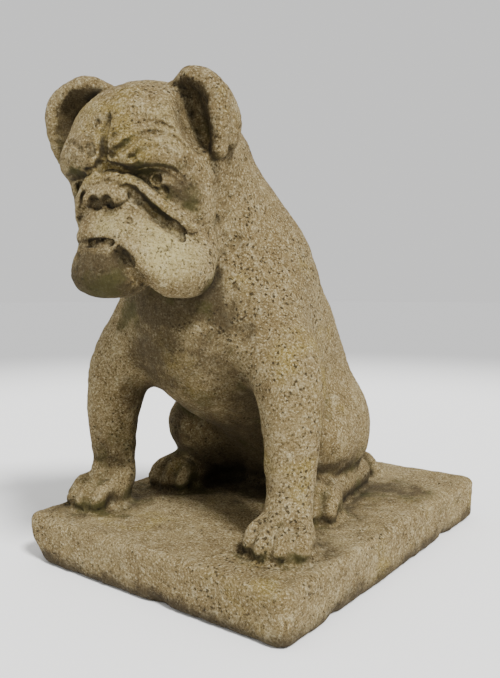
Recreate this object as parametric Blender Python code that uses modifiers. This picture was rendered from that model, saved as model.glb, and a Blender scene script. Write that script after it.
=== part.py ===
"""A bulldog carved in stone, sitting upright on a low rectangular plinth, all of one block.

The script works in metres with +Z up. The origin is the middle of the plinth's underside. The dog looks
along -Y and its left side is at +X. The figure is laid out in units of its own height, so that it keeps
its pose and proportions when FIGURE_HEIGHT changes. The plinth has sizes of its own.
"""

import math

import bmesh
import bpy
import numpy as np
from mathutils import Euler, Matrix, Vector

PART_NAME = "bulldog_statue"

PLINTH_LENGTH = 0.518  # front to back
PLINTH_WIDTH = 0.41
PLINTH_HEIGHT = 0.062
PLINTH_CORNER = 0.017  # radius of the upright corners, seen from above
PLINTH_EDGE = 0.010  # worn rounding of the top and bottom edges
PLINTH_BATTER = 0.003  # how much each side leans in towards the bottom

PLINTH_CHIPS = (
    (-1.05, -1.03, 0.034),
    (-0.55, -1.03, 0.014),
    (0.15, -1.03, 0.017),
    (0.62, -1.03, 0.012),
    (1.04, -0.62, 0.016),
    (1.04, 0.05, 0.012),
    (1.04, 0.55, 0.018),
    (-1.04, 0.2, 0.015),
    (-0.3, 1.03, 0.016),
)  # place across and along, from -1 to 1, and size in metres

FIGURE_HEIGHT = 0.54  # from the plinth's top to the top of the ears
UNITS_TALL = 54  # the figure's height in its own units, each about a centimetre
UNIT = FIGURE_HEIGHT / UNITS_TALL

ROUGH_VOXEL = 0.0048  # grid that fuses the masses into one skin
SKIN_VOXEL = 0.0034  # grid that the skin is carved on
SKIN_TRIANGLES = 9900
FLAT_WITHIN = 0.0006  # points this near the underside lie on it
STROKE_REACH = 2.5  # a stroke fades out at this many times its width
SLOPE_STEP = 0.0004  # how far apart two distances are read to find which way the surface faces
LIMB_STEPS = 3  # straight pieces between two of a limb's points
SPHERE_SPACING = 0.4  # of a limb's radius, between the spheres that it starts as
HEAD_FROM = 28  # above this height, in units, triangles stay small for the carving of the head
HEAD_BACK = -8  # only forward of here, in units
PAWS_BELOW = 5  # they stay fairly small below this height too, for the toes
HEAD_KEEPS = 0.97  # how strongly the head and the paws keep their triangles, from none at 0 to all at 1
PAWS_KEEP = 0.35
KEEPING_COST = 0.00001  # what that adds to the cost of a triangle taken away

STONE_COLOUR = (0.50, 0.43, 0.29, 1.0)
STONE_ROUGHNESS = 0.95

# Middle line of the body, in units: it sits a little to the dog's right of the plinth's middle.
BODY_X = -1.5

# The head's own frame: its origin is in the middle of the skull, and it turns towards the dog's left.
HEAD_PLACE = (-2.5, -20.0, 40.5)
HEAD_TURN = (0, -1, 13)
EAR_FLARE = (1.1, 0.6)  # how much further out and up the dog's right ear stands than its left


def clear_scene():
    for obj in list(bpy.data.objects):
        bpy.data.objects.remove(obj, do_unlink=True)


def smooth_min(a, b, width):
    """The lower of two distances, rounded over where they come within a width of each other."""
    near = np.maximum(width - np.abs(a - b), 0.0) / width
    return np.minimum(a, b) - near * near * width / 4


def smooth_line(points, steps=5):
    """A Catmull-Rom curve through the points, as a denser list of points."""
    points = [Vector(p) for p in points]
    if len(points) < 3:
        return points
    ends = [2 * points[0] - points[1], *points, 2 * points[-1] - points[-2]]
    curve = []
    for a, b, c, d in zip(ends, ends[1:], ends[2:], ends[3:]):
        for step in range(steps):
            t = step / steps
            bend = (2 * a - 5 * b + 4 * c - d) * t * t + (3 * b - a - 3 * c + d) * t**3
            curve.append(0.5 * (2 * b + (c - a) * t + bend))
    curve.append(ends[-2])
    return curve


def line_distance(points, line, radii=None):
    """Distance from each point to a line of straight pieces, less the line's own radius there."""
    nearest = np.full(len(points), np.inf)
    radii = np.zeros(len(line)) if radii is None else radii
    for start, end, first, last in zip(line[:-1], line[1:], radii[:-1], radii[1:]):
        run = end - start
        share = np.clip((points - start) @ run / (run @ run), 0, 1)
        gap = np.linalg.norm(points - start - share[:, None] * run, axis=1)
        nearest = np.minimum(nearest, gap - first - share * (last - first))
    return nearest


def ball_distance(points, centre, radii, axes, power):
    """Distance to an ellipsoid, which a power above 2 squares off: exact on its surface, near around it."""
    local = np.abs((points - centre) @ axes) / radii
    once = np.linalg.norm(local, ord=power, axis=1)
    slope = np.linalg.norm(local ** (power - 1) / radii, axis=1)
    return (once - 1) * once ** (power - 1) / np.maximum(slope, 1e-9)


def plinth_distance(points):
    """Distance to the plinth: a slab with round corners, worn edges and sides that lean in below."""
    half = np.array([PLINTH_WIDTH, PLINTH_LENGTH]) / 2
    below = np.clip(1 - points[:, 2] / PLINTH_HEIGHT, 0, 1)
    flat = np.abs(points[:, :2]) - half + PLINTH_CORNER
    flat = flat + (PLINTH_BATTER * below)[:, None]
    across = np.linalg.norm(np.maximum(flat, 0), axis=1) + np.minimum(flat.max(axis=1), 0) - PLINTH_CORNER
    upright = np.abs(points[:, 2] - PLINTH_HEIGHT / 2) - PLINTH_HEIGHT / 2
    sides = np.stack([across, upright], axis=1) + PLINTH_EDGE
    return np.linalg.norm(np.maximum(sides, 0), axis=1) + np.minimum(sides.max(axis=1), 0) - PLINTH_EDGE


class Clay:
    """A soft form built up of balls and limbs that flow into each other, then marked with strokes."""

    def __init__(self):
        self.frame = Matrix.Identity(4)
        self.steps = []

    def place(self, point):
        """A point of the current frame, in units, as a place in metres."""
        x, y, z = self.frame @ Vector(point)
        return np.array([x * UNIT, y * UNIT, z * UNIT + PLINTH_HEIGHT])

    def turned(self, place, turn):
        """The current frame moved to a place and turned by degrees about its X, Y and Z."""
        angles = [math.radians(angle) for angle in turn]
        return self.frame @ Matrix.Translation(place) @ Euler(angles).to_matrix().to_4x4()

    def ball(self, centre, radii, turn=(0, 0, 0), blend=2.0, cut=False, power=2):
        """Adds or cuts an ellipsoid, which a power above 2 squares off."""
        axes = np.array(self.turned(centre, turn).to_3x3())
        radii = np.array(radii) * UNIT
        reach = np.full(3, np.linalg.norm(radii))
        step = Step("cut" if cut else "add", self.place(centre)[None], radii, axes, blend * UNIT, reach)
        step.power = power
        self.steps.append(step)

    def limb(self, points, radii, blend=2.0, cut=False):
        """Adds or cuts a round bar on a smooth line through the points, with a radius at each."""
        curve = smooth_line([(*point, radius) for point, radius in zip(points, radii)], LIMB_STEPS)
        line = np.array([self.place(p[:3]) for p in curve])
        radii = np.array([p[3] for p in curve]) * UNIT
        reach = np.full(3, radii.max())
        self.steps.append(Step("cut" if cut else "add", line, radii, None, blend * UNIT, reach))

    def stroke(self, points, width, height):
        """Raises the surface along a line, or sinks it where height is below zero."""
        line = np.array([self.place(p) for p in smooth_line(points)])
        reach = np.full(3, STROKE_REACH * width * UNIT)
        self.steps.append(Step("stroke", line, width * UNIT, None, height * UNIT, reach))

    def distance(self, points):
        """Distance from each point to the finished surface, below zero inside."""
        total = plinth_distance(points)
        for step in self.steps:
            near = step.near(points)
            if near.any():
                total[near] = step.change(points[near], total[near])
        return total

    def rough_mesh(self):
        """The masses as overlapping spheres and the slab, before they are fused."""
        rough = bmesh.new()
        slab = Matrix.Translation((0, 0, PLINTH_HEIGHT / 2))
        slab = slab @ Matrix.Diagonal((PLINTH_WIDTH, PLINTH_LENGTH, PLINTH_HEIGHT, 1))
        bmesh.ops.create_cube(rough, size=1, matrix=slab)
        for step in self.steps:
            if step.kind == "add":
                step.add_spheres(rough)
        mesh = bpy.data.meshes.new("rough")
        rough.to_mesh(mesh)
        rough.free()
        return mesh


class Step:
    """One addition to the clay, one cut from it or one stroke on it, in metres."""

    def __init__(self, kind, line, size, axes, amount, reach):
        self.kind = kind
        self.line = line
        self.size = size
        self.axes = axes
        self.amount = amount
        self.power = 2
        margin = reach + (0 if kind == "stroke" else 1.5 * amount)
        self.low = line.min(axis=0) - margin
        self.high = line.max(axis=0) + margin

    def near(self, points):
        """Which points are close enough to this step to be changed by it."""
        return ((points > self.low) & (points < self.high)).all(axis=1)

    def change(self, points, total):
        if self.kind == "stroke":
            return total - self.amount * np.exp(-((line_distance(points, self.line) / self.size) ** 2))
        if self.axes is None:
            shape = line_distance(points, self.line, self.size)
        else:
            shape = ball_distance(points, self.line[0], self.size, self.axes, self.power)
        if self.kind == "cut":
            return -smooth_min(-total, shape, self.amount)
        return smooth_min(total, shape, self.amount)

    def add_spheres(self, rough):
        if self.axes is not None:
            matrix = Matrix.Translation(self.line[0]) @ Matrix(self.axes).to_4x4()
            matrix = matrix @ Matrix.Diagonal((*self.size, 1))
            bmesh.ops.create_icosphere(rough, subdivisions=3, radius=1, matrix=matrix)
            return
        for start, end, first, last in zip(self.line[:-1], self.line[1:], self.size[:-1], self.size[1:]):
            count = max(2, math.ceil(np.linalg.norm(end - start) / (SPHERE_SPACING * min(first, last))))
            for share in np.linspace(0, 1, count):
                matrix = Matrix.Translation(start + share * (end - start))
                radius = first + share * (last - first)
                bmesh.ops.create_icosphere(rough, subdivisions=2, radius=radius, matrix=matrix)


def torso(clay):
    clay.ball((BODY_X, -7.5, 25.6), (11.6, 13.0, 13.4), blend=3)
    clay.ball((BODY_X, 1.4, 19.0), (10.2, 11.2, 11.4), blend=6)
    clay.ball((BODY_X, 8.0, 10.0), (10.0, 9.6, 10.0), blend=6)
    clay.limb([(BODY_X, -8.4, 33), (BODY_X - 0.6, -14, 43)], [9.6, 7.8], blend=6)


def foreleg(clay, side, joints):
    """A bowed leg from the shoulder through the upper arm and the elbow to the wrist, and its paw."""
    clay.limb(joints, [5.7, 4.4, 3.4, 2.7], blend=3)
    wrist = joints[-1]
    clay.ball((wrist[0] - 1.6 * side, wrist[1] + 0.6, wrist[2] - 1.6), (1.2, 1.2, 1.2), blend=1.2)
    paw(clay, (wrist[0] + 0.6 * side, wrist[1] - 2.4, 0), 12 * side)


def paw(clay, place, turn):
    """A broad foot with four toes, from its place under the wrist, facing -Y."""
    before = clay.frame
    clay.frame = clay.turned(place, (0, 0, turn))
    clay.ball((0, 0.6, 2.0), (3.3, 3.4, 2.4), blend=2.5)
    for x, reach in ((-2.7, -1.9), (-0.95, -3.1), (0.95, -3.1), (2.7, -1.9)):
        toe = [(x * 0.7, reach + 3.0, 3.0), (x, reach + 1.0, 2.5), (x * 1.06, reach, 1.2)]
        clay.limb(toe, [1.0, 1.1, 1.15], blend=0.5)
    for x in (-1.85, 0, 1.85):
        reach = -2.6 if x else -3.6
        between = [(x * 0.7, reach + 3.4, 4.2), (x, reach + 0.6, 3.0), (x * 1.1, reach - 0.4, 1.0)]
        clay.stroke(between, 0.5, -0.45)
    clay.frame = before


def hind_leg(clay, side):
    x = BODY_X + side * 8.2
    clay.ball((x, 4.0, 9.3), (5.2, 8.8, 7.6), blend=2.5)
    clay.ball((x + side * 1.6, -1.4, 9.3), (4.4, 5.4, 4.8), blend=3)
    heel = (BODY_X + side * 9.0, 11.0, 2.0)
    toes = (BODY_X + side * 11.6, -4.6, 1.9)
    clay.limb([heel, toes], [2.3, 2.2], blend=1.2)
    slit = [(x + side * 5.4, 11, 4.2), (x + side * 5.8, 3, 4.4), (x + side * 5.8, -3.6, 4.8)]
    clay.limb(slit, [0.5, 0.7, 0.6], blend=0.6, cut=True)
    paw(clay, (toes[0], toes[1], 0), 8 * side)


def tail(clay):
    curl = [(BODY_X, 16, 3.4), (BODY_X + 2, 19, 2.0), (BODY_X + 6, 19.6, 1.3), (BODY_X + 9, 17.4, 1.0)]
    clay.limb(curl, [2.6, 2.0, 1.5, 0.9], blend=1.5)


def head(clay):
    before = clay.frame
    clay.frame = clay.turned(HEAD_PLACE, HEAD_TURN)
    clay.ball((0, 1.2, 3.6), (8.8, 9.6, 8.8), blend=3)
    clay.ball((0, -3.6, 5.0), (7.6, 5.4, 5.6), blend=3)
    clay.ball((-3.9, -1.8, -1.2), (4.4, 5.4, 4.2), blend=2.5)
    clay.ball((4.8, -1.6, -2.4), (4.6, 5.8, 6.0), blend=2.5)
    clay.ball((4.8, -4.6, -1.6), (3.4, 3.4, 3.0), blend=1.5)
    muzzle(clay)
    chin(clay)
    for side in (-1, 1):
        brow(clay, side)
        eye(clay, side)
        nose_roll(clay, side)
        ear(clay, side)
        jaw_edge(clay, side)
    forehead_crease(clay)
    nose(clay)
    clay.frame = before


def muzzle(clay):
    """The flat front of the face and the upper lips, which hang down to a lobe on each side."""
    clay.ball((0, -6.0, -5.0), (4.0, 4.3, 4.4), turn=(-17, 0, 0), blend=1.5, power=3)
    for side, spread in ((-1, 2.7), (1, 4.3)):
        lean = (36, -2 * side, -44 * side)
        clay.ball((spread * side, -6.4, -6.5), (2.6, 2.7, 5.2), turn=lean, blend=1.0, power=2.6)
    clay.ball((-4.8, -4.8, -9.0), (2.4, 2.8, 2.6), blend=1.5)
    clay.ball((5.8, -5.2, -8.4), (2.6, 2.8, 2.8), blend=1.2)
    clay.ball((6.8, -4.4, -9.5), (2.8, 3.0, 2.8), blend=1.2)
    clay.ball((6.6, -2.6, -7.4), (2.6, 2.8, 2.8), blend=1.5)
    clay.limb([(-2.4, -9.8, -5.6), (0, -10.3, -5.5), (2.4, -9.9, -5.7)], [0.9, 0.9, 0.9], blend=1.4)
    rim = [(1.7, -10.1, -6.0), (3.2, -9.8, -7.6), (4.5, -8.6, -9.2), (5.6, -6.9, -10.6)]
    clay.limb(rim, [0.9, 1.1, 1.2, 1.3], blend=2)


def chin(clay):
    """The chin between the lips, with the mouth's slit above it."""
    clay.ball((-0.3, -8.3, -9.3), (4.3, 4.0, 2.9), blend=0.5, power=2.3)
    clay.limb([(-2.4, -10.5, -7.4), (0, -11.1, -7.4), (1.9, -10.7, -7.4)], [0.7, 0.7, 0.5], blend=0.8)
    under_rim = [(2.3, -11.6, -8.0), (3.2, -10.9, -9.3), (4.3, -9.3, -10.8), (4.9, -7.3, -12.2)]
    clay.limb(under_rim, [0.3, 0.6, 0.5, 0.5], blend=0.6, cut=True)
    clay.ball((0.3, -11.6, -6.4), (1.7, 1.8, 0.4), turn=(-8, 0, 0), blend=0.15, cut=True)


def nose(clay):
    clay.ball((0, -9.2, -1.3), (2.4, 1.6, 1.3), blend=0.4)
    for side in (-1, 1):
        clay.ball((1.5 * side, -9.7, -1.8), (1.1, 1.1, 0.9), blend=0.5)
    for side in (-1, 1):
        clay.ball((0.85 * side, -10.4, -2.4), (0.68, 2.2, 0.7), turn=(30, 0, 0), blend=0.15, cut=True)


def brow(clay, side):
    """The heavy fold that hangs over one eye, and its half of the gap above the nose."""
    clay.ball((3.3 * side, -6.9, 3.0), (4.5, 2.9, 2.3), turn=(0, 5 * side, 16 * side), blend=2.2)
    clay.ball((0, -7.6, 3.2), (3.4, 2.4, 2.2), blend=2)
    under = [(0, -10.0, 1.3), (2.0 * side, -9.9, 1.0), (4.0 * side, -9.3, 0.7), (6.4 * side, -8.2, 0.9)]
    clay.limb(under, [0.75, 0.7, 0.5, 0.3], blend=0.4, cut=True)


def eye(clay, side):
    out, back = (-4.8, 0.3) if side < 0 else (5.2, 0)
    lean = (0, 9 * side, 17 * side)
    clay.ball((out - 0.2 * side, -8.7 + back, 0.1), (2.1, 1.6, 1.0), turn=lean, blend=1.0, cut=True)
    clay.ball((out, -6.6 + back, -0.2), (1.9, 1.5, 1.2), turn=lean, blend=0.3)
    clay.ball((out, -8.2 + back, 0.2), (0.55, 1.3, 0.5), blend=0.15, cut=True)


def nose_roll(clay, side):
    """The rope-like fold that arches over the nose and runs down across one cheek."""
    top = (0, -9.1, 0.5)
    if side < 0:
        roll = [top, (-1.8, -9.2, 0.1), (-3.3, -8.7, -1.3), (-4.3, -7.8, -3.1), (-4.8, -6.6, -5.0)]
        groove = [(-2.6, -10.0, -1.2), (-3.6, -9.4, -2.9), (-4.0, -9.0, -3.9), (-4.3, -8.6, -4.8)]
        above = [(-4.6, -9.0, -0.6), (-5.8, -7.8, -2.2), (-6.4, -6.6, -3.6)]
    else:
        roll = [top, (2.0, -9.3, 0.1), (4.0, -8.7, -1.2), (5.9, -7.3, -3.1), (7.8, -5.4, -4.9)]
        groove = [(2.8, -10.0, -0.9), (4.2, -9.5, -2.5), (5.9, -8.4, -4.3), (7.4, -6.8, -5.7)]
        above = [(4.8, -9.4, -0.6), (6.8, -8.2, -2.2), (8.4, -6.8, -3.4)]
    clay.limb(above, [0.8, 0.9, 0.7], blend=1.5, cut=True)
    clay.limb(roll, [0.8, 0.85, 0.9, 0.85, 0.7], blend=0.3)
    clay.limb(groove, [0.5, 0.65, 0.65, 0.5], blend=0.2, cut=True)


def ear(clay, side):
    """A thick flap at the side of the crown, with a hollow between it and the skull."""
    out, up = EAR_FLARE if side < 0 else (0, 0)
    lean = (0, -14 * side, 0)
    clay.ball(((8.4 + out / 2) * side, 0, 7.8 + up), (2.6 + out / 2, 3.0, 4.4), turn=lean, blend=1.2)
    rim = [(4.6, -1.8, 10.8), (7.2, -2.8, 11.4), (9.6 + out, -3.0, 9.9), (10.2 + out, -3.0, 7.0)]
    rim.append((9.6 + out, -2.2, 3.6))
    clay.limb([(x * side, y, z + up) for x, y, z in rim], [1.0, 1.3, 1.3, 1.2, 1.0], blend=0.8)
    hollow = ((7.5 + out * 0.8) * side, -4.2, 6.9 + up)
    clay.ball(hollow, (1.3 + out * 0.3, 2.7 + out * 0.6, 3.7), turn=lean, blend=0.8, cut=True)


def jaw_edge(clay, side):
    """The crease behind one cheek, where the head stands clear of the neck."""
    clay.ball((10.4 * side, -0.2, -3.6), (2.1, 1.9, 5.6), turn=(8, 0, 0), blend=1.2, cut=True)


def forehead_crease(clay):
    """The shallow furrow between the brows. Its line lies before the surface, so only its back cuts in."""
    clay.limb([(0, -10.8, 3.0), (0.1, -10.6, 4.4), (0, -10.1, 6.0)], [0.5, 0.5, 0.4], blend=2, cut=True)


def chips(clay):
    """Breaks along the plinth's lower edges, placed as shares of its half width and half length."""
    for across, along, size in PLINTH_CHIPS:
        place = np.array([across * PLINTH_WIDTH / 2, along * PLINTH_LENGTH / 2, 0.0])
        radii = np.array([size, size, size * 0.8])
        clay.steps.append(Step("cut", place[None], radii, np.eye(3), size / 2, radii))


def dog():
    clay = Clay()
    torso(clay)
    foreleg(clay, -1, [(-8.5, -12, 26), (-12.8, -15.2, 19.0), (-14.3, -16.0, 12.5), (-15.0, -15.2, 5.6)])
    foreleg(clay, 1, [(5.5, -11, 26), (11.4, -12.8, 19.5), (12.9, -13.8, 13), (13.4, -14.8, 5.6)])
    for side in (-1, 1):
        hind_leg(clay, side)
    tail(clay)
    head(clay)
    chips(clay)
    return clay


def with_modifier(mesh, kind, **settings):
    """A new mesh: the old one as one modifier leaves it."""
    obj = bpy.data.objects.new("work", mesh)
    bpy.context.scene.collection.objects.link(obj)
    modifier = obj.modifiers.new(kind, kind)
    for name, value in settings.items():
        setattr(modifier, name, value)
    made = bpy.data.meshes.new_from_object(obj.evaluated_get(bpy.context.evaluated_depsgraph_get()))
    bpy.data.objects.remove(obj)
    return made


def evened(points, edges, links):
    """Each point moved halfway to the mean of its neighbours, given by the mesh's edges."""
    total = np.zeros_like(points)
    np.add.at(total, edges[:, 0], points[edges[:, 1]])
    np.add.at(total, edges[:, 1], points[edges[:, 0]])
    return (points + total / links[:, None]) / 2


def settle(mesh, clay, rounds):
    """Moves the mesh's points onto the clay's surface, evenly spread, and those by the underside onto it."""
    points = np.empty(len(mesh.vertices) * 3, np.float32)
    mesh.vertices.foreach_get("co", points)
    points = points.reshape(-1, 3).astype(float)
    edges = np.empty(len(mesh.edges) * 2, np.int32)
    mesh.edges.foreach_get("vertices", edges)
    links = np.bincount(edges, minlength=len(points))
    edges = edges.reshape(-1, 2)
    for spent in range(rounds):
        if spent < rounds - 2:
            points = evened(points, edges, links)
        here = clay.distance(points)
        slope = np.stack([clay.distance(points + SLOPE_STEP * axis) - here for axis in np.eye(3)], axis=1) / SLOPE_STEP
        steep = np.maximum((slope**2).sum(axis=1), 0.3)
        step = np.clip(here / steep, -SKIN_VOXEL, SKIN_VOXEL)
        points -= step[:, None] * slope
    points[points[:, 2] < FLAT_WITHIN, 2] = 0
    mesh.vertices.foreach_set("co", points.astype(np.float32).ravel())
    mesh.update()


def thin_out(mesh):
    """A new mesh with few triangles: large ones on the body, small ones on the head and the paws."""
    obj = bpy.data.objects.new("work", mesh)
    bpy.context.scene.collection.objects.link(obj)
    carved = obj.vertex_groups.new(name="carved")
    head_from = PLINTH_HEIGHT + HEAD_FROM * UNIT
    for vertex in mesh.vertices:
        in_paws = PLINTH_HEIGHT < vertex.co.z < PLINTH_HEIGHT + PAWS_BELOW * UNIT
        on_head = vertex.co.z > head_from and vertex.co.y < HEAD_BACK * UNIT
        carved.add([vertex.index], HEAD_KEEPS if on_head else PAWS_KEEP if in_paws else 0.0, "REPLACE")
    modifier = obj.modifiers.new("thin", "DECIMATE")
    modifier.ratio = SKIN_TRIANGLES / (2 * len(mesh.polygons))
    modifier.use_collapse_triangulate = True
    modifier.vertex_group = carved.name
    modifier.invert_vertex_group = True
    modifier.vertex_group_factor = KEEPING_COST
    made = bpy.data.meshes.new_from_object(obj.evaluated_get(bpy.context.evaluated_depsgraph_get()))
    bpy.data.objects.remove(obj)
    for vertex in made.vertices:
        if vertex.co.z < FLAT_WITHIN:
            vertex.co.z = 0
    return made


def stone():
    material = bpy.data.materials.new("weathered_stone")
    material.use_nodes = True
    shader = material.node_tree.nodes["Principled BSDF"]
    shader.inputs["Base Color"].default_value = STONE_COLOUR
    shader.inputs["Roughness"].default_value = STONE_ROUGHNESS
    shader.inputs["Metallic"].default_value = 0.0
    return material


def main():
    clear_scene()
    clay = dog()
    skin = with_modifier(clay.rough_mesh(), "REMESH", mode="VOXEL", voxel_size=ROUGH_VOXEL)
    settle(skin, clay, 8)
    skin = with_modifier(skin, "REMESH", mode="VOXEL", voxel_size=SKIN_VOXEL)
    settle(skin, clay, 6)
    skin = thin_out(skin)
    skin.name = PART_NAME
    statue = bpy.data.objects.new(PART_NAME, skin)
    collection = bpy.data.collections.new("bulldog_garden_statue")
    bpy.context.scene.collection.children.link(collection)
    collection.objects.link(statue)
    skin.materials.append(stone())
    return statue


main()
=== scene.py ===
"""A weathered stone bulldog on its plinth, as the photograph shows it.

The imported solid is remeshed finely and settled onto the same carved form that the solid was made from, with
the finer marks of the carving added. Units and axes are the model's: metres, +Z up, the dog looks along -Y.
"""

import math

import bmesh
import bpy
import numpy as np
from mathutils import Euler, Matrix, Vector, noise


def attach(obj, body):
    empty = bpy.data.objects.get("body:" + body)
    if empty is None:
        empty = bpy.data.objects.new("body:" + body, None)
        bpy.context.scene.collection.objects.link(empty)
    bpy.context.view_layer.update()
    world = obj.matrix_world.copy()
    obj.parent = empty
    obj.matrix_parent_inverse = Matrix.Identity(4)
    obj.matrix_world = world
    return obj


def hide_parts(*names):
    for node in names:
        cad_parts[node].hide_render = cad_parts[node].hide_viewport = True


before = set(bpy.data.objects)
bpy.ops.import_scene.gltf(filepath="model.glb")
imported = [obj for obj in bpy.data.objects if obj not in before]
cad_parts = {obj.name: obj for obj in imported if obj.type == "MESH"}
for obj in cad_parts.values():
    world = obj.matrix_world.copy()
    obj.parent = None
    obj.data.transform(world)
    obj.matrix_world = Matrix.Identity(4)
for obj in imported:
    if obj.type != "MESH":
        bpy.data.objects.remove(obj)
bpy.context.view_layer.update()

FINE_VOXEL = 0.0053  # spacing of the fine mesh on the body, half of it on the head, a quarter on the face
PLINTH_LENGTH = 0.518  # front to back
PLINTH_WIDTH = 0.41
PLINTH_HEIGHT = 0.062
PLINTH_CORNER = 0.017  # radius of the upright corners, seen from above
PLINTH_EDGE = 0.010  # worn rounding of the top and bottom edges
PLINTH_BATTER = 0.003  # how much each side leans in towards the bottom

PLINTH_CHIPS = (
    (-1.05, -1.03, 0.034),
    (-0.55, -1.03, 0.014),
    (0.15, -1.03, 0.017),
    (0.62, -1.03, 0.012),
    (1.04, -0.62, 0.016),
    (1.04, 0.05, 0.012),
    (1.04, 0.55, 0.018),
    (-1.04, 0.2, 0.015),
    (-0.3, 1.03, 0.016),
)  # place across and along, from -1 to 1, and size in metres

FIGURE_HEIGHT = 0.54  # from the plinth's top to the top of the ears
UNITS_TALL = 54  # the figure's height in its own units, each about a centimetre
UNIT = FIGURE_HEIGHT / UNITS_TALL

FLAT_WITHIN = 0.0006  # points this near the underside lie on it
STROKE_REACH = 2.5  # a stroke fades out at this many times its width
SLOPE_STEP = 0.0004  # how far apart two distances are read to find which way the surface faces
LIMB_STEPS = 8  # straight pieces between two of a limb's points

# Middle line of the body, in units: it sits a little to the dog's right of the plinth's middle.
BODY_X = -1.5

# The head's own frame: its origin is in the middle of the skull, and it turns towards the dog's left.
HEAD_PLACE = (-2.5, -20.0, 40.5)
HEAD_TURN = (0, -1, 13)
EAR_FLARE = (1.1, 0.6)  # how much further out and up the dog's right ear stands than its left

# How the fine mesh is made.
BODY_ROUNDS = 6  # times that the whole mesh is settled onto the clay
FINER_ROUNDS = 4  # the same after each finer patch
LAST_ROUNDS = 2  # of those, the ones that no longer spread the points
LEAST_SLOPE = 0.3  # a distance that changes more slowly than this is taken to change this fast
FINER_BALLS = (((-1.5, -23.0, 41.0), 14.0), ((1.0, -29.0, 37.0), 8.5))  # head and face: place, radius

# Lines pressed into the face, in the head's frame: the points, then the mark's width and depth.
PRESSED = (
    ([(-1.1, -11.4, -6.4), (0.4, -11.4, -6.35), (1.8, -11.1, -6.4)], 0.55, 1.0),  # mouth
    ([(-0.85, -10.5, -2.1), (-0.85, -10.3, -2.4)], 0.75, 1.2),  # nostrils
    ([(0.85, -10.5, -2.1), (0.85, -10.3, -2.4)], 0.75, 1.2),
    ([(5.2, -8.1, 0.2), (5.3, -8.1, 0.2)], 0.6, 0.9),  # pupils
    ([(-4.8, -7.8, 0.2), (-4.9, -7.8, 0.2)], 0.6, 0.9),
    ([(5.8, -7.4, -0.7), (6.0, -7.4, -1.1)], 0.5, 0.3),  # hole below the left eye
    ([(3.4, -9.2, 0.6), (4.0, -8.9, 0.1)], 0.9, 0.6),  # inner corner of the left eye
    ([(2.6, -11.1, -7.7), (3.2, -10.8, -8.4)], 1.1, 0.6),  # hollow beside the chin
    # Groove on the left cheek.
    ([(3.4, -9.8, -1.4), (4.6, -9.0, -2.9), (5.9, -8.0, -4.4), (7.2, -6.9, -5.6)], 1.0, 0.7),
    # Furrow between the brows.
    ([(0.1, -10.3, 2.4), (0.2, -10.1, 4.2), (0, -9.2, 6.2), (0.1, -8.0, 7.8)], 0.65, 0.6),
    # Three wrinkles over the left eye.
    (
        [(1.4, -10.4, 2.6), (3.0, -10.2, 3.4), (4.4, -9.4, 4.5), (6.0, -8.2, 4.7), (7.7, -6.9, 3.6)],
        0.65,
        0.6,
    ),
    ([(1.6, -10.2, 4.4), (3.2, -9.6, 5.6), (5.0, -8.4, 5.9), (6.6, -7.2, 5.2)], 0.65, 0.5),
    ([(3.4, -10.0, 2.2), (4.8, -9.4, 3.0), (6.4, -8.4, 3.0)], 0.55, 0.45),
    # Two over the right eye.
    ([(-1.2, -10.3, 3.0), (-1.6, -10.0, 4.8), (-1.2, -9.2, 6.4)], 0.6, 0.45),
    ([(-2.4, -10.2, 3.4), (-4.4, -9.2, 4.4), (-6.4, -7.6, 3.8)], 0.6, 0.5),
    # Left upper lid.
    ([(3.6, -8.9, 1.3), (5.2, -8.5, 1.5), (7.0, -7.4, 0.9), (7.8, -6.6, 0.2)], 0.4, 0.3),
)

# The larger pits, in the figure's own frame: place on the surface and radius.
PITS = (
    ((3.0, -25.9, 49.3), 0.42),
    ((4.9, -25.4, 47.0), 0.38),
    ((9.0, -16.8, 24.8), 0.5),
    ((12.5, -17.2, 16.8), 0.4),
    ((3.0, -29.2, 36.4), 0.35),
    ((5.9, -18.3, 36.7), 0.9),
)

# The worn surface: swells to a metre, depth in metres and shift of the noise.
SWELLS = ((28, 0.0011, 3.1), (75, 0.0010, 7.7), (170, 0.0007, 1.3))
PIT_SIZES = ((55, 0.0022, 0.30), (110, 0.0016, 0.35))  # cells to a metre, depth in metres, share pitted
PIT_RADIUS = 0.3  # share of a cell

# Painted shade and dirt, laid where stone closes in near a place, where wider masses overhang it and where it
# faces down: reach in metres and share of the whole, then the weight of each cause.
CLOSED_REACHES = ((0.006, 0.35), (0.018, 0.35), (0.045, 0.3))
WIDE_REACH = 0.09
CLOSED_SHADE_WEIGHT = 0.55
WIDE_SHADE_WEIGHT = 0.5
DOWN_SHADE_WEIGHT = 0.45
DOWN_FROM = 0.25  # a face tilted up less than this already gets painted shade, as a face under something does
PATCH_END = 1.3  # a patch of dirt, painted shade or painted highlight fades out at this many times its radius

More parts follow.
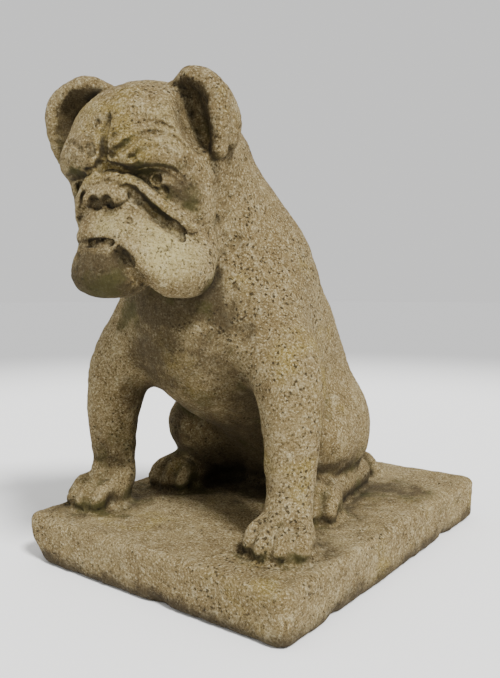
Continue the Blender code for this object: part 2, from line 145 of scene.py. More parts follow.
# Where dirt and painted shade lie thicker or thinner than the shape alone would have it, and where a share
# below zero paints a highlight: place, radius and share.
DIRT_SHADE_AND_LIGHT_PATCHES = (
    ((0.0, -31.0, 31.0), 4.8, 1.0),  # chin: dirt and painted shade under the muzzle
    ((0.0, -30.5, 38.2), 1.3, 0.5),  # nostrils: painted shade in them
    ((-2.0, -19.0, 24.0), 7.5, 0.6),  # chest: dirt and painted shadow under the head
    ((6.4, -24.2, 39.4), 2.6, 0.6),  # below the left eye: dirt and painted shade
    ((8.0, -17.0, 25.5), 4.5, 0.35),  # left shoulder
    ((-15.0, -17.0, 9.0), 6.0, 0.25),  # right foreleg: dirt and painted shade on its side away from the light
    ((0.8, -30.1, 38.2), 0.8, 0.7),  # left nostril: painted shade in it
    ((-1.0, -30.4, 38.2), 0.8, 0.7),  # right nostril: painted shade in it
    ((5.4, -26.5, 33.4), 4.2, -1.1),  # left upper lip: painted highlight
    ((1.0, -30.4, 35.6), 2.4, -1.1),  # front of the muzzle: painted highlight
    ((5.0, -25.0, 46.0), 3.5, -0.5),  # left of the forehead: painted highlight
    ((-1.0, -13.0, 0.0), 8.0, -0.35),  # plinth's top between the forelegs: less painted shade
    ((15.0, 13.0, 0.0), 6.0, 0.5),  # plinth's top behind the left haunch: painted shadow of the haunch
    ((-17.0, -22.0, 0.0), 4.0, 0.3),  # its front corner by the right paw
)

# Colours of the stone.
PALE = (0.31, 0.235, 0.110)
WARM = (0.25, 0.180, 0.076)
BROWN = (0.185, 0.125, 0.050)
BRIGHT = (0.60, 0.52, 0.31)
DARK = (0.052, 0.035, 0.014)
LICHEN = (0.29, 0.21, 0.045)
PAINTED_HIGHLIGHT = (0.50, 0.41, 0.18)  # painted highlight, a pale yellow where the key light falls brightest
# Near-black dirt and painted shade.
SHADE_AND_GRIME = (0.042, 0.029, 0.012)
MOSS = (0.062, 0.060, 0.013)
PIT_DARK = (0.05, 0.034, 0.015)
# Painted shade, near black, in the most closed-in hollows.
HOLLOW_SHADE = (0.016, 0.012, 0.006)
FOOT_DARK = (0.035, 0.024, 0.012)

# The studio.
FLOOR_RADIUS = 9.0
# The floor is painted pale near the statue and darker further out: a painted pool of light.
FLOOR_FADES = (1.2, 2.6)  # from how far out to how far out
FLOOR_COLOUR = (0.92, 0.92, 0.91)
FAR_FLOOR = (0.40, 0.40, 0.40)
BACKDROP = (0.86, 0.86, 0.855)
# The key light from the right and the weak fill: name, way towards the light, strength, width in degrees.
LIGHTS = (
    ("key", (1.05, -0.40, 1.30), 5.6, 12.0),
    ("fill", (-0.8, -1.0, 0.7), 0.15, 40.0),
)

# The camera, worked out from the plinth's corners in the photograph.
CAMERA_PLACE = (0.583, -0.823, 0.371)
CAMERA_AZIMUTH = 36.86  # degrees from -Y towards +X
CAMERA_PITCH = 5.10  # degrees down
FOCAL_PIXELS = 729.0
IMAGE_WIDTH = 500
SENSOR_WIDTH = 36.0


def smooth_min(a, b, width):
    """The lower of two distances, rounded over where they come within a width of each other."""
    near = np.maximum(width - np.abs(a - b), 0.0) / width
    return np.minimum(a, b) - near * near * width / 4


def smooth_line(points, steps=5):
    """A Catmull-Rom curve through the points, as a denser list of points."""
    points = [Vector(p) for p in points]
    if len(points) < 3:
        return points
    ends = [2 * points[0] - points[1], *points, 2 * points[-1] - points[-2]]
    curve = []
    for a, b, c, d in zip(ends, ends[1:], ends[2:], ends[3:]):
        for step in range(steps):
            t = step / steps
            bend = (2 * a - 5 * b + 4 * c - d) * t * t + (3 * b - a - 3 * c + d) * t**3
            curve.append(0.5 * (2 * b + (c - a) * t + bend))
    curve.append(ends[-2])
    return curve


def line_distance(points, line, radii=None):
    """Distance from each point to a line of straight pieces, less the line's own radius there."""
    nearest = np.full(len(points), np.inf)
    radii = np.zeros(len(line)) if radii is None else radii
    for start, end, first, last in zip(line[:-1], line[1:], radii[:-1], radii[1:]):
        run = end - start
        share = np.clip((points - start) @ run / (run @ run), 0, 1)
        gap = np.linalg.norm(points - start - share[:, None] * run, axis=1)
        nearest = np.minimum(nearest, gap - first - share * (last - first))
    return nearest


def ball_distance(points, centre, radii, axes, power):
    """Distance to an ellipsoid, which a power above 2 squares off: exact on its surface, near around it."""
    local = np.abs((points - centre) @ axes) / radii
    once = np.linalg.norm(local, ord=power, axis=1)
    slope = np.linalg.norm(local ** (power - 1) / radii, axis=1)
    return (once - 1) * once ** (power - 1) / np.maximum(slope, 1e-9)


def plinth_distance(points):
    """Distance to the plinth: a slab with round corners, worn edges and sides that lean in below."""
    half = np.array([PLINTH_WIDTH, PLINTH_LENGTH]) / 2
    below = np.clip(1 - points[:, 2] / PLINTH_HEIGHT, 0, 1)
    flat = np.abs(points[:, :2]) - half + PLINTH_CORNER
    flat = flat + (PLINTH_BATTER * below)[:, None]
    across = np.linalg.norm(np.maximum(flat, 0), axis=1) + np.minimum(flat.max(axis=1), 0) - PLINTH_CORNER
    upright = np.abs(points[:, 2] - PLINTH_HEIGHT / 2) - PLINTH_HEIGHT / 2
    sides = np.stack([across, upright], axis=1) + PLINTH_EDGE
    return np.linalg.norm(np.maximum(sides, 0), axis=1) + np.minimum(sides.max(axis=1), 0) - PLINTH_EDGE


class Clay:
    """A soft form built up of balls and limbs that flow into each other, then marked with strokes."""

    def __init__(self):
        self.frame = Matrix.Identity(4)
        self.steps = []

    def place(self, point):
        """A point of the current frame, in units, as a place in metres."""
        x, y, z = self.frame @ Vector(point)
        return np.array([x * UNIT, y * UNIT, z * UNIT + PLINTH_HEIGHT])

    def turned(self, place, turn):
        """The current frame moved to a place and turned by degrees about its X, Y and Z."""
        angles = [math.radians(angle) for angle in turn]
        return self.frame @ Matrix.Translation(place) @ Euler(angles).to_matrix().to_4x4()

    def ball(self, centre, radii, turn=(0, 0, 0), blend=2.0, cut=False, power=2):
        """Adds or cuts an ellipsoid, which a power above 2 squares off."""
        axes = np.array(self.turned(centre, turn).to_3x3())
        radii = np.array(radii) * UNIT
        reach = np.full(3, np.linalg.norm(radii))
        step = Step("cut" if cut else "add", self.place(centre)[None], radii, axes, blend * UNIT, reach)
        step.power = power
        self.steps.append(step)

    def limb(self, points, radii, blend=2.0, cut=False):
        """Adds or cuts a round bar on a smooth line through the points, with a radius at each."""
        curve = smooth_line([(*point, radius) for point, radius in zip(points, radii)], LIMB_STEPS)
        line = np.array([self.place(p[:3]) for p in curve])
        radii = np.array([p[3] for p in curve]) * UNIT
        reach = np.full(3, radii.max())
        self.steps.append(Step("cut" if cut else "add", line, radii, None, blend * UNIT, reach))

    def stroke(self, points, width, height):
        """Raises the surface along a line, or sinks it where height is below zero."""
        line = np.array([self.place(p) for p in smooth_line(points)])
        reach = np.full(3, STROKE_REACH * width * UNIT)
        self.steps.append(Step("stroke", line, width * UNIT, None, height * UNIT, reach))

    def distance(self, points):
        """Distance from each point to the finished surface, below zero inside."""
        total = plinth_distance(points)
        for step in self.steps:
            near = step.near(points)
            if near.any():
                total[near] = step.change(points[near], total[near])
        return total


class Step:
    """One addition to the clay, one cut from it or one stroke on it, in metres."""

    def __init__(self, kind, line, size, axes, amount, reach):
        self.kind = kind
        self.line = line
        self.size = size
        self.axes = axes
        self.amount = amount
        self.power = 2
        margin = reach + (0 if kind == "stroke" else 1.5 * amount)
        self.low = line.min(axis=0) - margin
        self.high = line.max(axis=0) + margin

    def near(self, points):
        """Which points are close enough to this step to be changed by it."""
        return ((points > self.low) & (points < self.high)).all(axis=1)

    def change(self, points, total):
        if self.kind == "stroke":
            return total - self.amount * np.exp(-((line_distance(points, self.line) / self.size) ** 2))
        if self.axes is None:
            shape = line_distance(points, self.line, self.size)
        else:
            shape = ball_distance(points, self.line[0], self.size, self.axes, self.power)
        if self.kind == "cut":
            return -smooth_min(-total, shape, self.amount)
        return smooth_min(total, shape, self.amount)


def torso(clay):
    clay.ball((BODY_X, -7.5, 25.6), (11.6, 13.0, 13.4), blend=3)
    clay.ball((BODY_X, 1.4, 19.0), (10.2, 11.2, 11.4), blend=6)
    clay.ball((BODY_X, 8.0, 10.0), (10.0, 9.6, 10.0), blend=6)
    clay.limb([(BODY_X, -8.4, 33), (BODY_X - 0.6, -14, 43)], [9.6, 7.8], blend=6)


def foreleg(clay, side, joints):
    """A bowed leg from the shoulder through the upper arm and the elbow to the wrist, and its paw."""
    clay.limb(joints, [5.7, 4.4, 3.4, 2.7], blend=3)
    wrist = joints[-1]
    clay.ball((wrist[0] - 1.6 * side, wrist[1] + 0.6, wrist[2] - 1.6), (1.2, 1.2, 1.2), blend=1.2)
    paw(clay, (wrist[0] + 0.6 * side, wrist[1] - 2.4, 0), 12 * side)


def paw(clay, place, turn):
    """A broad foot with four toes, from its place under the wrist, facing -Y."""
    before = clay.frame
    clay.frame = clay.turned(place, (0, 0, turn))
    clay.ball((0, 0.6, 2.0), (3.3, 3.4, 2.4), blend=2.5)
    for x, reach in ((-2.7, -1.9), (-0.95, -3.1), (0.95, -3.1), (2.7, -1.9)):
        toe = [(x * 0.7, reach + 3.0, 3.0), (x, reach + 1.0, 2.5), (x * 1.06, reach, 1.2)]
        clay.limb(toe, [1.0, 1.1, 1.15], blend=0.5)
    for x in (-1.85, 0, 1.85):
        reach = -2.6 if x else -3.6
        between = [(x * 0.7, reach + 3.4, 4.2), (x, reach + 0.6, 3.0), (x * 1.1, reach - 0.4, 1.0)]
        clay.stroke(between, 0.5, -0.45)
    clay.frame = before


def hind_leg(clay, side):
    x = BODY_X + side * 8.2
    clay.ball((x, 4.0, 9.3), (5.2, 8.8, 7.6), blend=2.5)
    clay.ball((x + side * 1.6, -1.4, 9.3), (4.4, 5.4, 4.8), blend=3)
    heel = (BODY_X + side * 9.0, 11.0, 2.0)
    toes = (BODY_X + side * 11.6, -4.6, 1.9)
    clay.limb([heel, toes], [2.3, 2.2], blend=1.2)
    slit = [(x + side * 5.4, 11, 4.2), (x + side * 5.8, 3, 4.4), (x + side * 5.8, -3.6, 4.8)]
    clay.limb(slit, [0.5, 0.7, 0.6], blend=0.6, cut=True)
    paw(clay, (toes[0], toes[1], 0), 8 * side)


def tail(clay):
    curl = [(BODY_X, 16, 3.4), (BODY_X + 2, 19, 2.0), (BODY_X + 6, 19.6, 1.3), (BODY_X + 9, 17.4, 1.0)]
    clay.limb(curl, [2.6, 2.0, 1.5, 0.9], blend=1.5)


def head(clay):
    before = clay.frame
    clay.frame = clay.turned(HEAD_PLACE, HEAD_TURN)
    clay.ball((0, 1.2, 3.6), (8.8, 9.6, 8.8), blend=3)
    clay.ball((0, -3.6, 5.0), (7.6, 5.4, 5.6), blend=3)
    clay.ball((-3.9, -1.8, -1.2), (4.4, 5.4, 4.2), blend=2.5)
    clay.ball((4.8, -1.6, -2.4), (4.6, 5.8, 6.0), blend=2.5)
    clay.ball((4.8, -4.6, -1.6), (3.4, 3.4, 3.0), blend=1.5)
    muzzle(clay)
    chin(clay)
    for side in (-1, 1):
        brow(clay, side)
        eye(clay, side)
        nose_roll(clay, side)
        ear(clay, side)
        jaw_edge(clay, side)
    forehead_crease(clay)
    nose(clay)
    clay.frame = before


def muzzle(clay):
    """The flat front of the face and the upper lips, which hang down to a lobe on each side."""
    clay.ball((0, -6.0, -5.0), (4.0, 4.3, 4.4), turn=(-17, 0, 0), blend=1.5, power=3)
    for side, spread in ((-1, 2.7), (1, 4.3)):
        lean = (36, -2 * side, -44 * side)
        clay.ball((spread * side, -6.4, -6.5), (2.6, 2.7, 5.2), turn=lean, blend=1.0, power=2.6)
    clay.ball((-4.8, -4.8, -9.0), (2.4, 2.8, 2.6), blend=1.5)
    clay.ball((5.8, -5.2, -8.4), (2.6, 2.8, 2.8), blend=1.2)
    clay.ball((6.8, -4.4, -9.5), (2.8, 3.0, 2.8), blend=1.2)
    clay.ball((6.6, -2.6, -7.4), (2.6, 2.8, 2.8), blend=1.5)
    clay.limb([(-2.4, -9.8, -5.6), (0, -10.3, -5.5), (2.4, -9.9, -5.7)], [0.9, 0.9, 0.9], blend=1.4)
    rim = [(1.7, -10.1, -6.0), (3.2, -9.8, -7.6), (4.5, -8.6, -9.2), (5.6, -6.9, -10.6)]
    clay.limb(rim, [0.9, 1.1, 1.2, 1.3], blend=2)


def chin(clay):
    """The chin between the lips, with the mouth's slit above it."""
    clay.ball((-0.3, -8.3, -9.3), (4.3, 4.0, 2.9), blend=0.5, power=2.3)
    clay.limb([(-2.4, -10.5, -7.4), (0, -11.1, -7.4), (1.9, -10.7, -7.4)], [0.7, 0.7, 0.5], blend=0.8)
    under_rim = [(2.3, -11.6, -8.0), (3.2, -10.9, -9.3), (4.3, -9.3, -10.8), (4.9, -7.3, -12.2)]
    clay.limb(under_rim, [0.3, 0.6, 0.5, 0.5], blend=0.6, cut=True)
    clay.ball((0.3, -11.6, -6.4), (1.7, 1.8, 0.4), turn=(-8, 0, 0), blend=0.15, cut=True)


def nose(clay):
    clay.ball((0, -9.2, -1.3), (2.4, 1.6, 1.3), blend=0.4)
    for side in (-1, 1):
        clay.ball((1.5 * side, -9.7, -1.8), (1.1, 1.1, 0.9), blend=0.5)
    for side in (-1, 1):
        clay.ball((0.85 * side, -10.4, -2.4), (0.68, 2.2, 0.7), turn=(30, 0, 0), blend=0.15, cut=True)


def brow(clay, side):
    """The heavy fold that hangs over one eye, and its half of the gap above the nose."""
    clay.ball((3.3 * side, -6.9, 3.0), (4.5, 2.9, 2.3), turn=(0, 5 * side, 16 * side), blend=2.2)
    clay.ball((0, -7.6, 3.2), (3.4, 2.4, 2.2), blend=2)
    under = [(0, -10.0, 1.3), (2.0 * side, -9.9, 1.0), (4.0 * side, -9.3, 0.7), (6.4 * side, -8.2, 0.9)]
    clay.limb(under, [0.75, 0.7, 0.5, 0.3], blend=0.4, cut=True)


def eye(clay, side):
    out, back = (-4.8, 0.3) if side < 0 else (5.2, 0)
    lean = (0, 9 * side, 17 * side)
    clay.ball((out - 0.2 * side, -8.7 + back, 0.1), (2.1, 1.6, 1.0), turn=lean, blend=1.0, cut=True)
    clay.ball((out, -6.6 + back, -0.2), (1.9, 1.5, 1.2), turn=lean, blend=0.3)
    clay.ball((out, -8.2 + back, 0.2), (0.55, 1.3, 0.5), blend=0.15, cut=True)


def nose_roll(clay, side):
    """The rope-like fold that arches over the nose and runs down across one cheek."""
    top = (0, -9.1, 0.5)
    if side < 0:
        roll = [top, (-1.8, -9.2, 0.1), (-3.3, -8.7, -1.3), (-4.3, -7.8, -3.1), (-4.8, -6.6, -5.0)]
        groove = [(-2.6, -10.0, -1.2), (-3.6, -9.4, -2.9), (-4.0, -9.0, -3.9), (-4.3, -8.6, -4.8)]
        above = [(-4.6, -9.0, -0.6), (-5.8, -7.8, -2.2), (-6.4, -6.6, -3.6)]
    else:
        roll = [top, (2.0, -9.3, 0.1), (4.0, -8.7, -1.2), (5.9, -7.3, -3.1), (7.8, -5.4, -4.9)]
        groove = [(2.8, -10.0, -0.9), (4.2, -9.5, -2.5), (5.9, -8.4, -4.3), (7.4, -6.8, -5.7)]
        above = [(4.8, -9.4, -0.6), (6.8, -8.2, -2.2), (8.4, -6.8, -3.4)]
    clay.limb(above, [0.8, 0.9, 0.7], blend=1.5, cut=True)
    clay.limb(roll, [0.8, 0.85, 0.9, 0.85, 0.7], blend=0.3)
    clay.limb(groove, [0.5, 0.65, 0.65, 0.5], blend=0.2, cut=True)


def ear(clay, side):
    """A thick flap at the side of the crown, with a hollow between it and the skull."""
    out, up = EAR_FLARE if side < 0 else (0, 0)
    lean = (0, -14 * side, 0)
    clay.ball(((8.4 + out / 2) * side, 0, 7.8 + up), (2.6 + out / 2, 3.0, 4.4), turn=lean, blend=1.2)
    rim = [(4.6, -1.8, 10.8), (7.2, -2.8, 11.4), (9.6 + out, -3.0, 9.9), (10.2 + out, -3.0, 7.0)]
    rim.append((9.6 + out, -2.2, 3.6))
    clay.limb([(x * side, y, z + up) for x, y, z in rim], [1.0, 1.3, 1.3, 1.2, 1.0], blend=0.8)
    hollow = ((7.5 + out * 0.8) * side, -4.2, 6.9 + up)
    clay.ball(hollow, (1.3 + out * 0.3, 2.7 + out * 0.6, 3.7), turn=lean, blend=0.8, cut=True)


def jaw_edge(clay, side):
    """The crease behind one cheek, where the head stands clear of the neck."""
    clay.ball((10.4 * side, -0.2, -3.6), (2.1, 1.9, 5.6), turn=(8, 0, 0), blend=1.2, cut=True)


def forehead_crease(clay):
    """The shallow furrow between the brows. Its line lies before the surface, so only its back cuts in."""
    clay.limb([(0, -10.8, 3.0), (0.1, -10.6, 4.4), (0, -10.1, 6.0)], [0.5, 0.5, 0.4], blend=2, cut=True)


def chips(clay):
    """Breaks along the plinth's lower edges, placed as shares of its half width and half length."""
    for across, along, size in PLINTH_CHIPS:
        place = np.array([across * PLINTH_WIDTH / 2, along * PLINTH_LENGTH / 2, 0.0])
        radii = np.array([size, size, size * 0.8])
        clay.steps.append(Step("cut", place[None], radii, np.eye(3), size / 2, radii))


def dog():
    clay = Clay()
    torso(clay)
    foreleg(clay, -1, [(-8.5, -12, 26), (-12.8, -15.2, 19.0), (-14.3, -16.0, 12.5), (-15.0, -15.2, 5.6)])
    foreleg(clay, 1, [(5.5, -11, 26), (11.4, -12.8, 19.5), (12.9, -13.8, 13), (13.4, -14.8, 5.6)])
    for side in (-1, 1):
        hind_leg(clay, side)
    tail(clay)
    head(clay)
    chips(clay)
    return clay


def numbers(values, name, width, kind=np.float32):
    """One vector or number per vertex or edge of a mesh, as a numpy array."""
    flat = np.empty(len(values) * width, kind)
    values.foreach_get(name, flat)
    return flat.reshape(-1, width)


def put_points(mesh, points):
    mesh.vertices.foreach_set("co", points.astype(np.float32).ravel())
    mesh.update()


def evened(points, edges, links):
    """Each point moved halfway to the mean of its neighbours, given by the mesh's edges."""
    total = np.zeros_like(points)
    np.add.at(total, edges[:, 0], points[edges[:, 1]])
    np.add.at(total, edges[:, 1], points[edges[:, 0]])
    return (points + total / links[:, None]) / 2


def settle(mesh, clay, rounds):
    """Moves the points onto the clay's surface, evenly spread, and those by the underside onto it."""
    points = numbers(mesh.vertices, "co", 3).astype(float)
    edges = numbers(mesh.edges, "vertices", 2, np.int32)
    links = np.bincount(edges.ravel(), minlength=len(points))
    for spent in range(rounds):
        if spent < rounds - LAST_ROUNDS:
            points = evened(points, edges, links)
        here = clay.distance(points)
        beyond = [clay.distance(points + SLOPE_STEP * axis) for axis in np.eye(3)]
        slope = np.stack([far - here for far in beyond], axis=1) / SLOPE_STEP
        steep = np.maximum((slope**2).sum(axis=1), LEAST_SLOPE)
        step = np.clip(here / steep, -FINE_VOXEL, FINE_VOXEL)
        points -= step[:, None] * slope
    points[points[:, 2] < FLAT_WITHIN, 2] = 0
    put_points(mesh, points)


def new_object(name, data):
    obj = bpy.data.objects.new(name, data)
    bpy.context.scene.collection.objects.link(obj)
    return obj


def with_modifier(mesh, kind, **settings):
    """A new mesh: the old one as one modifier leaves it."""
    obj = new_object("work", mesh)
    modifier = obj.modifiers.new(kind, kind)
    for name, value in settings.items():
        setattr(modifier, name, value)
    made = bpy.data.meshes.new_from_object(obj.evaluated_get(bpy.context.evaluated_depsgraph_get()))
    bpy.data.objects.remove(obj)
    return made


def fine_marks(clay):
    """The larger pits of the worn stone, cut into the clay."""
    for centre, radius in PITS:
        clay.ball(centre, (radius, radius, radius), blend=0.25, cut=True)


def press(mesh, clay):
    """Presses the finest lines and holes of the face straight in, from the front of the head."""
    before = clay.frame
    clay.frame = clay.turned(HEAD_PLACE, HEAD_TURN)
    points = numbers(mesh.vertices, "co", 3).astype(float)
    inwards = np.array(clay.frame.to_3x3() @ Vector((0, 1, 0)))
    moved = np.zeros(len(points))
    for line, width, depth in PRESSED:
        way = np.array([clay.place(p) for p in smooth_line(line)])
        gap = line_distance(points, way) / (width * UNIT)
        moved = np.maximum(moved, depth * UNIT * np.clip(1 - gap**2, 0, 1) ** 1.5)
    points += moved[:, None] * inwards
    put_points(mesh, points)
    clay.frame = before


def finer(mesh, place, radius):
    """Splits in four the faces within a ball, given in the figure's own frame."""
    centre = Vector(Clay().place(place))
    work = bmesh.new()
    work.from_mesh(mesh)
    inside = {f for f in work.faces if (f.calc_center_median() - centre).length < radius * UNIT}
    edges = [edge for edge in work.edges if not inside.isdisjoint(edge.link_faces)]
    bmesh.ops.subdivide_edges(work, edges=edges, cuts=1, use_grid_fill=True)
    work.to_mesh(mesh)
    work.free()


def fine_mesh():
    clay = dog()
    fine_marks(clay)
    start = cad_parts["bulldog_statue"].data.copy()
    mesh = with_modifier(start, "REMESH", mode="VOXEL", voxel_size=FINE_VOXEL)
    settle(mesh, clay, BODY_ROUNDS)
    for place, radius in FINER_BALLS:
        finer(mesh, place, radius)
        settle(mesh, clay, FINER_ROUNDS)
    press(mesh, clay)
    roughen(mesh)
    shade(mesh, clay)
    for polygon in mesh.polygons:
        polygon.use_smooth = True
    return mesh


def roughen(mesh):
    """Moves the surface in and out by a little noise and pits, and leaves the underside flat."""
    points = numbers(mesh.vertices, "co", 3).astype(float)
    mesh.update()
    normals = numbers(mesh.vertices, "normal", 3)
    rise = np.zeros(len(points))
    for scale, depth, seed in SWELLS:
        offset = Vector((seed, seed * 2, seed * 3))
        rise += depth * np.array([noise.noise(Vector(p) * scale + offset) for p in points])
    for scale, depth, share in PIT_SIZES:
        cells = [noise.voronoi(Vector(p) * scale) for p in points]
        gap = np.array([near[0] for near, _ in cells])
        chosen = np.array([noise.cell(spots[0] * 5) < share for _, spots in cells])
        rise -= depth * chosen * np.clip(1 - gap / PIT_RADIUS, 0, 1)
    flat = points[:, 2] == 0
    points += normals * rise[:, None]
    points[flat, 2] = 0
    points[:, 2] = np.maximum(points[:, 2], 0)
    put_points(mesh, points)


def closed_in(clay, points, normals, reach):
    """How little room there is before each place, within a reach: 0 in the open, 1 against stone."""
    return np.clip(1 - clay.distance(points + normals * reach) / reach, 0, 1)


def shade(mesh, clay):
    """Stores, from 0 to 1, how closed in each place is, how much dirt and painted shade it gets, and how much
    painted highlight.
    """
    points = numbers(mesh.vertices, "co", 3).astype(float)
    normals = numbers(mesh.vertices, "normal", 3).astype(float)
    # Painted shade and dirt where stone closes in before each place, over three reaches and one wider reach.
    closed_shade = np.zeros(len(points))
    for reach, share in CLOSED_REACHES:
        closed_shade += share * closed_in(clay, points, normals, reach)
    wide_shade = closed_in(clay, points, normals, WIDE_REACH)
    # Painted shade on faces that turn down, as under an overhang.
    under_shade = np.clip(DOWN_FROM - normals[:, 2], 0, 1)
    dirt_and_shade = CLOSED_SHADE_WEIGHT * closed_shade + WIDE_SHADE_WEIGHT * wide_shade + DOWN_SHADE_WEIGHT * under_shade
    # The table's patches add dirt and painted shade, and where their sum falls below zero, a painted
    # highlight.
    for centre, radius, share in DIRT_SHADE_AND_LIGHT_PATCHES:
        gap = np.linalg.norm(points - clay.place(centre), axis=1) / (radius * UNIT)
        dirt_and_shade += share * np.clip(PATCH_END - gap, 0, 1)
    # How closed in each place is, which the material paints as shade in the hollows.
    store(mesh, "hollow", closed_shade)
    # Dirt and painted shade together, from 0 to 1.
    store(mesh, "dirt_and_painted_shade", np.clip(dirt_and_shade, 0, 1))
    # Where the patches push the sum below zero: a painted highlight.
    store(mesh, "painted_highlight_share", np.clip(-dirt_and_shade, 0, 1))


def store(mesh, name, values):
    attribute = mesh.attributes.new(name, "FLOAT", "POINT")
    attribute.data.foreach_set("value", values.astype(np.float32))


class Shader:
    """Short calls for a material's nodes: each returns the output that the next one takes."""

    def __init__(self, name):
        self.material = bpy.data.materials.new(name)
        self.material.use_nodes = True
        self.tree = self.material.node_tree
        self.main = self.tree.nodes["Principled BSDF"]
        self.place = self.node("ShaderNodeTexCoord").outputs["Object"]

    def node(self, kind, **settings):
        made = self.tree.nodes.new(kind)
        for name, value in settings.items():
            setattr(made, name, value)
        return made

    def put(self, value, socket):
        if hasattr(value, "is_linked"):
            self.tree.links.new(value, socket)
        else:
            socket.default_value = value

    def noise(self, scale, detail, rough, shift):
        made = self.node("ShaderNodeTexNoise")
        place = self.node("ShaderNodeVectorMath", operation="ADD")
        self.put(self.place, place.inputs[0])
        place.inputs[1].default_value = (shift, shift * 1.7, shift * 0.6)
        self.put(place.outputs[0], made.inputs["Vector"])
        made.inputs["Scale"].default_value = scale
        made.inputs["Detail"].default_value = detail
        made.inputs["Roughness"].default_value = rough
        return made.outputs["Fac"]

    def cells(self, scale):
        made = self.node("ShaderNodeTexVoronoi", feature="F1")
        self.put(self.place, made.inputs["Vector"])
        made.inputs["Scale"].default_value = scale
        return made.outputs["Distance"]

    def ramp(self, value, low, high, out=(0.0, 1.0)):
        made = self.node("ShaderNodeMapRange", interpolation_type="SMOOTHSTEP")
        self.put(value, made.inputs["Value"])
        for name, number in zip(("From Min", "From Max", "To Min", "To Max"), (low, high, *out)):
            made.inputs[name].default_value = number
        return made.outputs["Result"]

    def math(self, kind, a, b):
        made = self.node("ShaderNodeMath", operation=kind)
        self.put(a, made.inputs[0])
        self.put(b, made.inputs[1])
        return made.outputs[0]

    def swing(self, noise, times):
        """A noise's rise and fall around its middle value, scaled."""
        return self.math("MULTIPLY", self.math("SUBTRACT", noise, 0.5), times)

    def mix(self, share, a, b):
        made = self.node("ShaderNodeMix", data_type="RGBA", blend_type="MIX")
        self.put(share, made.inputs["Factor"])
        self.put((*a, 1.0) if isinstance(a, tuple) else a, made.inputs[6])
        self.put((*b, 1.0) if isinstance(b, tuple) else b, made.inputs[7])
        return made.outputs[2]

    def attribute(self, name):
        return self.node("ShaderNodeAttribute", attribute_name=name).outputs["Fac"]

    def bump(self, height, depth):
        made = self.node("ShaderNodeBump")
        made.inputs["Strength"].default_value = 1.0
        made.inputs["Distance"].default_value = depth
        self.put(height, made.inputs["Height"])
        return made.outputs["Normal"]


def bare_stone(s, patches, grain, coarse):
    """Soft blotches with lichen, a painted yellow highlight on the most lit places, and light and dark
    grains.
    """
    blotches = s.noise(6.0, 5.0, 0.6, 2.3)
    colour = s.mix(s.ramp(blotches, 0.35, 0.65), PALE, WARM)
    colour = s.mix(s.ramp(patches, 0.40, 0.68, (0, 0.7)), colour, BROWN)
    colour = s.mix(s.ramp(s.noise(12.0, 4.0, 0.6, 9.4), 0.54, 0.72, (0, 0.7)), colour, LICHEN)
    # Painted highlight, pale yellow, on the most lit places.
    colour = s.mix(s.attribute("painted_highlight_share"), colour, PAINTED_HIGHLIGHT)
    colour = s.mix(s.ramp(coarse, 0.50, 0.72, (0, 0.6)), colour, BRIGHT)
    colour = s.mix(s.ramp(coarse, 0.46, 0.28, (0, 0.7)), colour, DARK)
    colour = s.mix(s.ramp(grain, 0.52, 0.64, (0, 0.9)), colour, BRIGHT)
    return s.mix(s.ramp(grain, 0.48, 0.36, (0, 0.95)), colour, DARK)


def pinholes(s, grain):
    """Where the little holes of uneven outline are, denser in some patches than in others."""
    holes = s.math("ADD", s.cells(150.0), s.swing(grain, 1.1))
    many = s.ramp(s.noise(11.0, 4.0, 0.6, 3.7), 0.35, 0.7, (0.02, 0.26))
    return s.ramp(s.math("SUBTRACT", holes, many), 0.06, -0.08)


def weathered_and_shaded(s, colour, patches):
    """The colour with dirt and painted shade where it is closed in or faces down, algae on part of that,
    painted shade in the hollows, and a dark foot.
    """
    dirt_and_shade_share = s.math("ADD", s.attribute("dirt_and_painted_shade"), s.swing(patches, 1.2))
    # Dirt and painted shade, near black, over the dirty and shaded places.
    colour = s.mix(s.ramp(dirt_and_shade_share, 0.25, 0.95, (0, 0.80)), colour, SHADE_AND_GRIME)
    damp = s.ramp(s.noise(16.0, 4.0, 0.6, 1.9), 0.52, 0.66, (0, 0.6))
    colour = s.mix(s.math("MULTIPLY", s.ramp(dirt_and_shade_share, 0.2, 0.7), damp), colour, MOSS)
    # Painted shade, near black, in the most closed-in hollows.
    colour = s.mix(s.ramp(s.attribute("hollow"), 0.35, 0.85, (0, 0.80)), colour, HOLLOW_SHADE)
    height = s.node("ShaderNodeSeparateXYZ")
    s.put(s.place, height.inputs[0])
    foot = s.math("ADD", height.outputs[2], s.math("MULTIPLY", patches, -0.045))
    return s.mix(s.ramp(foot, 0.004, -0.016, (0, 0.8)), colour, FOOT_DARK)


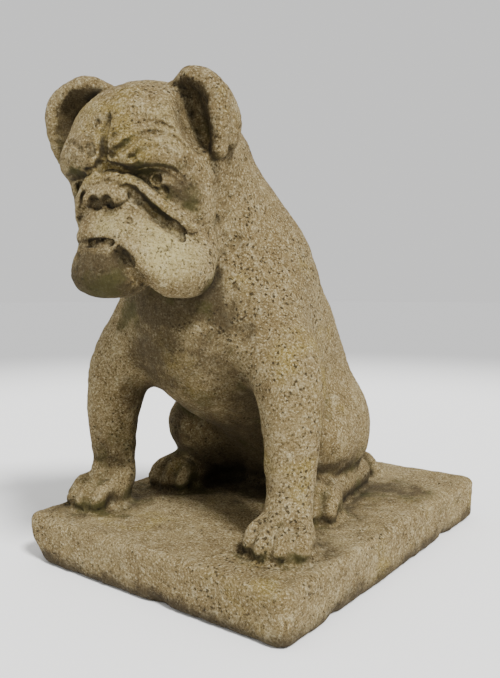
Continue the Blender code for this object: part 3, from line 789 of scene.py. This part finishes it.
def stone():
    s = Shader("weathered_stone")
    patches = s.noise(24.0, 5.0, 0.65, 5.1)
    grain = s.noise(380.0, 5.0, 0.8, 0.7)
    coarse = s.noise(80.0, 6.0, 0.75, 6.2)
    holes = pinholes(s, grain)
    colour = bare_stone(s, patches, grain, coarse)
    colour = s.mix(s.math("MULTIPLY", holes, 0.8), colour, PIT_DARK)
    s.put(weathered_and_shaded(s, colour, patches), s.main.inputs["Base Color"])
    s.main.inputs["Roughness"].default_value = 0.95
    s.main.inputs["Specular IOR Level"].default_value = 0.2
    rise = s.math("SUBTRACT", s.math("MULTIPLY", grain, 0.5), s.math("MULTIPLY", holes, 0.6))
    rise = s.math("ADD", rise, s.math("MULTIPLY", coarse, 0.9))
    s.put(s.bump(rise, 0.008), s.main.inputs["Normal"])
    return s.material


def statue():
    mesh = fine_mesh()
    mesh.materials.clear()
    mesh.materials.append(stone())
    piece = new_object("carved_bulldog", mesh)
    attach(piece, "root")
    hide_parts("bulldog_statue")


def pale_floor():
    """A floor that grows darker away from the statue, so that it fades into the backdrop: a painted pool of
    light around the statue.
    """
    disc = bmesh.new()
    bmesh.ops.create_circle(disc, cap_ends=True, radius=FLOOR_RADIUS, segments=96)
    mesh = bpy.data.meshes.new("floor")
    disc.to_mesh(mesh)
    disc.free()
    floor = new_object("floor", mesh)
    s = Shader("pale_floor")
    far = s.node("ShaderNodeVectorMath", operation="LENGTH")
    s.put(s.place, far.inputs[0])
    # Painted pool of light: pale by the statue, darker further out.
    share = s.ramp(far.outputs["Value"], *FLOOR_FADES)
    s.put(s.mix(share, FLOOR_COLOUR, FAR_FLOOR), s.main.inputs["Base Color"])
    s.main.inputs["Roughness"].default_value = 0.9
    s.main.inputs["Specular IOR Level"].default_value = 0.1
    mesh.materials.append(s.material)


def soft_lights():
    for name, place, strength, spread in LIGHTS:
        light = bpy.data.lights.new(name, "SUN")
        light.energy = strength
        light.angle = math.radians(spread)
        obj = new_object(name, light)
        obj.rotation_mode = "QUATERNION"
        obj.rotation_quaternion = Vector(place).to_track_quat("Z", "Y")


def backdrop():
    world = bpy.data.worlds.new("studio")
    world.use_nodes = True
    background = world.node_tree.nodes["Background"]
    background.inputs["Color"].default_value = (*BACKDROP, 1.0)
    background.inputs["Strength"].default_value = 1.0
    bpy.context.scene.world = world


def camera():
    data = bpy.data.cameras.new("camera")
    data.sensor_fit = "HORIZONTAL"
    data.sensor_width = SENSOR_WIDTH
    data.lens = FOCAL_PIXELS / IMAGE_WIDTH * SENSOR_WIDTH
    obj = new_object("camera", data)
    obj.location = CAMERA_PLACE
    obj.rotation_euler = (math.radians(90 - CAMERA_PITCH), 0, math.radians(CAMERA_AZIMUTH))
    bpy.context.scene.camera = obj


camera()
pale_floor()
soft_lights()
backdrop()
statue()
